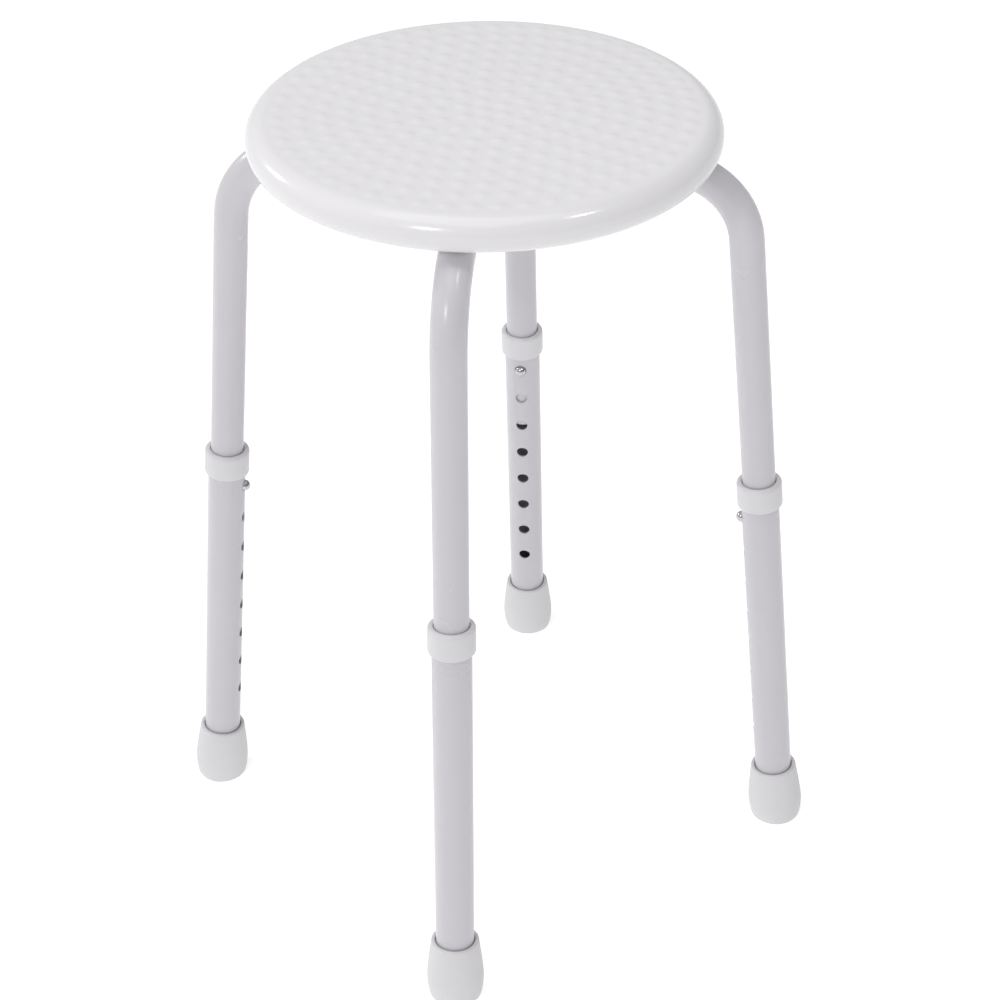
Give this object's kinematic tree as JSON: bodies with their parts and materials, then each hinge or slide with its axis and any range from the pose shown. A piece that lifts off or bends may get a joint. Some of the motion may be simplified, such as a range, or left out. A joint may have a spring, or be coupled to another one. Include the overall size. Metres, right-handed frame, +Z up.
{
  "type": "shower stool",
  "caption": "Round hollow plastic seat on crossed bent tubes, with splayed telescopic legs set by sprung snap buttons and rubber feet.",
  "frame": {"origin": "on the floor, under the centre of the seat, with the legs at their longest setting", "axes": "+Z up; the legs stand on the row axes: front on -Y, right on +X, back on +Y, left on -X"},
  "size_m": [0.449, 0.449, 0.545],
  "materials": {
    "seat_plastic": "glossy white moulded polyethylene with low dimples",
    "coated_tube": "satin white powder coat on aluminium tube",
    "collar_plastic": "smooth white moulded plastic",
    "foot_rubber": "satin white rubber",
    "zinc_steel": "zinc-plated steel",
    "brass_insert": "turned brass",
    "chrome_button": "polished chrome",
    "spring_steel": "blued spring steel strip"
  },
  "bodies": {
    "frame": {"frame_tube_left_right": "coated_tube", "frame_tube_front_back": "coated_tube", "seat": "seat_plastic", "seat_insert": "brass_insert", "centre_bolt": "zinc_steel", "centre_washer": "zinc_steel", "seat_screws": "zinc_steel", "button_spring_front": "spring_steel", "button_spring_right": "spring_steel", "button_spring_back": "spring_steel", "button_spring_left": "spring_steel"},
    "leg_front": {"leg_tube_front": "coated_tube", "collar_front": "collar_plastic", "foot_front": "foot_rubber", "foot_washer_front": "zinc_steel"},
    "button_front": {"snap_button_front": "chrome_button"},
    "leg_right": {"leg_tube_right": "coated_tube", "collar_right": "collar_plastic", "foot_right": "foot_rubber", "foot_washer_right": "zinc_steel"},
    "button_right": {"snap_button_right": "chrome_button"},
    "leg_back": {"leg_tube_back": "coated_tube", "collar_back": "collar_plastic", "foot_back": "foot_rubber", "foot_washer_back": "zinc_steel"},
    "button_back": {"snap_button_back": "chrome_button"},
    "leg_left": {"leg_tube_left": "coated_tube", "collar_left": "collar_plastic", "foot_left": "foot_rubber", "foot_washer_left": "zinc_steel"},
    "button_left": {"snap_button_left": "chrome_button"}
  },
  "joints": [
    {"name": "leg_front_height", "type": "slide", "parent": "frame", "child": "leg_front", "axis": [0, 0.0894, 0.996], "range_m": [0, 0.1778], "deforming": ["snap_button_front", "button_spring_front"]},
    {"name": "leg_right_height", "type": "slide", "parent": "frame", "child": "leg_right", "axis": [-0.0894, 0, 0.996], "range_m": [0, 0.1778], "deforming": ["snap_button_right", "button_spring_right"]},
    {"name": "leg_back_height", "type": "slide", "parent": "frame", "child": "leg_back", "axis": [0, -0.0894, 0.996], "range_m": [0, 0.1778], "deforming": ["snap_button_back", "button_spring_back"]},
    {"name": "leg_left_height", "type": "slide", "parent": "frame", "child": "leg_left", "axis": [0.0894, 0, 0.996], "range_m": [0, 0.1778], "deforming": ["snap_button_left", "button_spring_left"]},
    {"name": "button_front_press", "type": "slide", "parent": "frame", "child": "button_front", "axis": [0, -0.996, 0.0894], "range_m": [0, 0.0055], "stiffness_N_per_m": 2000, "springref_m": -0.003, "deforming": ["button_spring_front"]},
    {"name": "button_right_press", "type": "slide", "parent": "frame", "child": "button_right", "axis": [0.996, 0, 0.0894], "range_m": [0, 0.0055], "stiffness_N_per_m": 2000, "springref_m": -0.003, "deforming": ["button_spring_right"]},
    {"name": "button_back_press", "type": "slide", "parent": "frame", "child": "button_back", "axis": [0, 0.996, 0.0894], "range_m": [0, 0.0055], "stiffness_N_per_m": 2000, "springref_m": -0.003, "deforming": ["button_spring_back"]},
    {"name": "button_left_press", "type": "slide", "parent": "frame", "child": "button_left", "axis": [-0.996, 0, 0.0894], "range_m": [0, 0.0055], "stiffness_N_per_m": 2000, "springref_m": -0.003, "deforming": ["button_spring_left"]}
  ]
}
